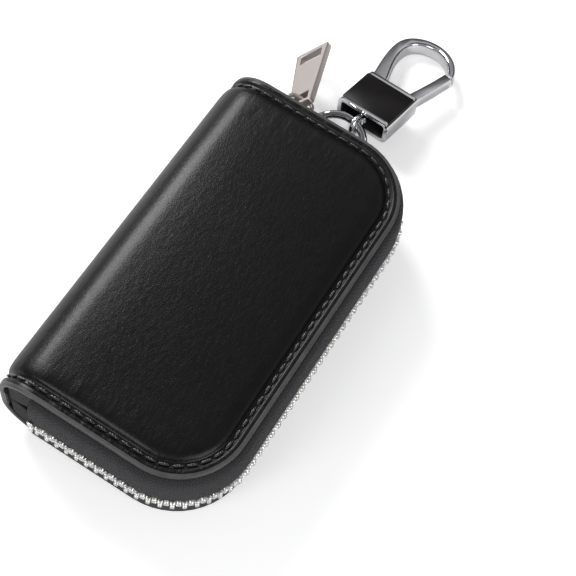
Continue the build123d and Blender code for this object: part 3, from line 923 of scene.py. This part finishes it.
# ---- Clasp ----
class KEYCASE_OT_clasp(bpy.types.Operator):
    """Finish the leather tab, the D-ring, the swivel and the snap hook"""

    bl_idname = "keycase.clasp"
    bl_label = "Snap Hook"

    def execute(self, context):
        from_frame("clasp_tab", "clasp_tab_leather", finishes["leather"], 0.3, 3, smooth_under=60)
        from_frame("d_ring", "ring_wire", finishes["chrome"], 0.0, smooth_under=80)
        from_frame("swivel_eye", "swivel", finishes["chrome"], 0.12, 2, smooth_under=50)
        sleeve = from_frame("clasp_block", "clasp_sleeve", finishes["chrome"], 0.3, 3, angle=50, smooth_under=35)
        sleeve.data.materials.append(finishes["dark_cast"][0])
        turn = next(joint for joint in frame["joints"] if joint["name"] == "clasp_turn")
        along = Vector(turn["axis"]).normalized()
        plate = max(frame["nodes"]["front_inlay"].data.polygons, key=lambda face: face.area)
        facing = Vector(plate.normal)
        side = along.cross(facing)
        low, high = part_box("clasp_block")
        middle = (low + high) / 2
        for face in sleeve.data.polygons:
            way = face.center - middle
            if abs(way.dot(side)) < 6.85 * mm and abs(way.dot(facing)) < 2.35 * mm and abs(way.dot(along)) < 6.3 * mm:
                face.material_index = 1
        from_frame("hook", "hook_arm", finishes["chrome"], 0.0, tidy=0.2, smooth_under=50)
        from_frame("gate", "gate_arm", finishes["chrome"], 0.6, 4, angle=60, smooth_under=70, outside="clasp_block")
        from_frame("gate_pin", "gate_rivet", finishes["chrome"], 0.15, 2)
        for node in ("front_inlay", "rear_inlay"):
            from_frame(node, f"{node}_plate", finishes["inlay"], 0.12, 2)
        return {"FINISHED"}


# ---- Keys ----
class KEYCASE_OT_keys(bpy.types.Operator):
    """Make the key tab, the chain links and the rings"""

    bl_idname = "keycase.keys"
    bl_label = "Key Chain"

    def execute(self, context):
        from_frame("key_tab", "key_tab_leather", finishes["leather"], 0.2, 2, smooth_under=60)
        from_frame("key_chain", "chain_links", finishes["teeth"], 0.15, 2, smooth_under=60)
        for node in ("jump_ring", "connector_ring"):
            from_frame(node, f"{node}_wire", finishes["chrome"], 0.0, smooth_under=80)
        from_frame("key_ring", "split_ring", finishes["chrome"], 0.2, 3, smooth_under=60)
        return {"FINISHED"}


# ---- Stage ----
class KEYCASE_OT_stage(bpy.types.Operator):
    """Make the pale floor, the soft light and the camera"""

    bl_idname = "keycase.stage"
    bl_label = "Studio"

    def execute(self, context):
        scene = context.scene
        bm = bmesh.new()
        bmesh.ops.create_grid(bm, x_segments=1, y_segments=1, size=3000.0)
        bmesh.ops.translate(bm, vec=(0, 0, -0.05), verts=bm.verts)
        floor_finish = Finish("studio_floor", scene.colours.floor, 0.9, Emission_Strength=0.42)
        seen = floor_finish.node("ShaderNodeLightPath", output="Is Camera Ray")
        floor_finish.paint(
            Base_Color=floor_finish.mix(floor_finish.noise(4.0), shade(scene.colours.floor, 0.99), scene.colours.floor),
            Emission_Color=floor_finish.mix(seen, (0, 0, 0), (1, 1, 1)),
        )
        floor = make_object("studio_floor", bm, [floor_finish.material])
        world = bpy.data.worlds.new("studio")
        scene.world = world
        world.use_nodes = True
        tree = world.node_tree
        background = tree.nodes["Background"]
        sky = tree.nodes.new("ShaderNodeValToRGB")
        levels = ((0.5, 0.1), (0.6, 0.03), (0.72, 0.1), (0.82, 0.6), (0.88, 0.5), (0.93, 0.1), (1.0, 0.14))
        while len(sky.color_ramp.elements) < len(levels):
            sky.color_ramp.elements.new(0.5)
        for element, (position, level) in zip(sky.color_ramp.elements, levels):
            element.position = position
            element.color = (level, level, level * 1.03, 1)
        apart = tree.nodes.new("ShaderNodeSeparateXYZ")
        tree.links.new(tree.nodes.new("ShaderNodeTexCoord").outputs["Generated"], apart.inputs[0])
        half = tree.nodes.new("ShaderNodeMath")
        half.operation = "MULTIPLY_ADD"
        half.inputs[1].default_value = 0.5
        half.inputs[2].default_value = 0.5
        tree.links.new(apart.outputs["Z"], half.inputs[0])
        tree.links.new(half.outputs[0], sky.inputs["Fac"])
        seen = tree.nodes.new("ShaderNodeMix")
        seen.data_type = "RGBA"
        seen.inputs[7].default_value = (1, 1, 1, 1)
        tree.links.new(tree.nodes.new("ShaderNodeLightPath").outputs["Is Camera Ray"], seen.inputs["Factor"])
        tree.links.new(sky.outputs["Color"], seen.inputs[6])
        tree.links.new(seen.outputs[2], background.inputs["Color"])
        background.inputs["Strength"].default_value = 1.0
        for name, place, aim, size, power in (
            ("key_light", (-360, 190, 330), (-10, 10, 10), 260, 2.3),
            ("fill_light", (360, -160, 300), (0, 0, 10), 300, 0.75),
            ("front_light", (-120, -380, 330), (0, 0, 10), 200, 0.55),
        ):
            lamp = bpy.data.lights.new(name, "AREA")
            lamp.shape = "DISK"
            lamp.size = size * mm
            lamp.energy = power
            holder = bpy.data.objects.new(name, lamp)
            scene.collection.objects.link(holder)
            holder.location = Vector(place) * mm
            holder.rotation_euler = (Vector(aim) - Vector(place)).to_track_quat("-Z", "Y").to_euler()
        camera = bpy.data.cameras.new("camera")
        camera.sensor_width = 36.0
        camera.lens = 83.36
        camera.clip_start = 0.01
        holder = bpy.data.objects.new("camera", camera)
        scene.collection.objects.link(holder)
        right = Vector((0.8453, 0.5232, 0.1085)).normalized()
        back = Vector((0.1317, -0.4007, 0.9067)).normalized()
        up = back.cross(right).normalized()
        turn = Matrix((right, up, back)).transposed().to_4x4()
        holder.matrix_world = Matrix.Translation(Vector((51.9, -114.1, 294.6)) * mm) @ turn
        scene.camera = holder
        scene.view_settings.view_transform = "Standard"
        return {"FINISHED"}


class KEYCASE_PT_panel(bpy.types.Panel):
    """Panel that lists the sizes, the colours and the pieces"""

    bl_label = "Key Case"
    bl_idname = "KEYCASE_PT_panel"
    bl_space_type = "VIEW_3D"
    bl_region_type = "UI"
    bl_category = "Key Case"

    def draw(self, context):
        layout = self.layout
        for group in (context.scene.leather_sizes, context.scene.zip_sizes, context.scene.key_sizes, context.scene.colours):
            box = layout.box()
            for name in group.__annotations__:
                box.prop(group, name)
        for operator in operators:
            layout.operator(operator.bl_idname)


groups = (LeatherSizes, ZipSizes, KeySizes, Colours)
operators = (
    KEYCASE_OT_leather,
    KEYCASE_OT_tapes,
    KEYCASE_OT_teeth,
    KEYCASE_OT_slider,
    KEYCASE_OT_linings,
    KEYCASE_OT_clasp,
    KEYCASE_OT_keys,
    KEYCASE_OT_stage,
)
finishes = {}


def register():
    for part in (*groups, *operators, KEYCASE_PT_panel):
        bpy.utils.register_class(part)
    bpy.types.Scene.leather_sizes = PointerProperty(type=LeatherSizes)
    bpy.types.Scene.zip_sizes = PointerProperty(type=ZipSizes)
    bpy.types.Scene.key_sizes = PointerProperty(type=KeySizes)
    bpy.types.Scene.colours = PointerProperty(type=Colours)


def unregister():
    for name in ("leather_sizes", "zip_sizes", "key_sizes", "colours"):
        delattr(bpy.types.Scene, name)
    for part in (KEYCASE_PT_panel, *reversed(operators), *reversed(groups)):
        bpy.utils.unregister_class(part)


def main():
    register()
    finishes.update(make_finishes(bpy.context.scene.colours))
    bpy.ops.keycase.leather()
    bpy.ops.keycase.tapes()
    bpy.ops.keycase.teeth()
    bpy.ops.keycase.slider()
    bpy.ops.keycase.linings()
    bpy.ops.keycase.clasp()
    bpy.ops.keycase.keys()
    bpy.ops.keycase.stage()


if __name__ == "__main__":
    main()
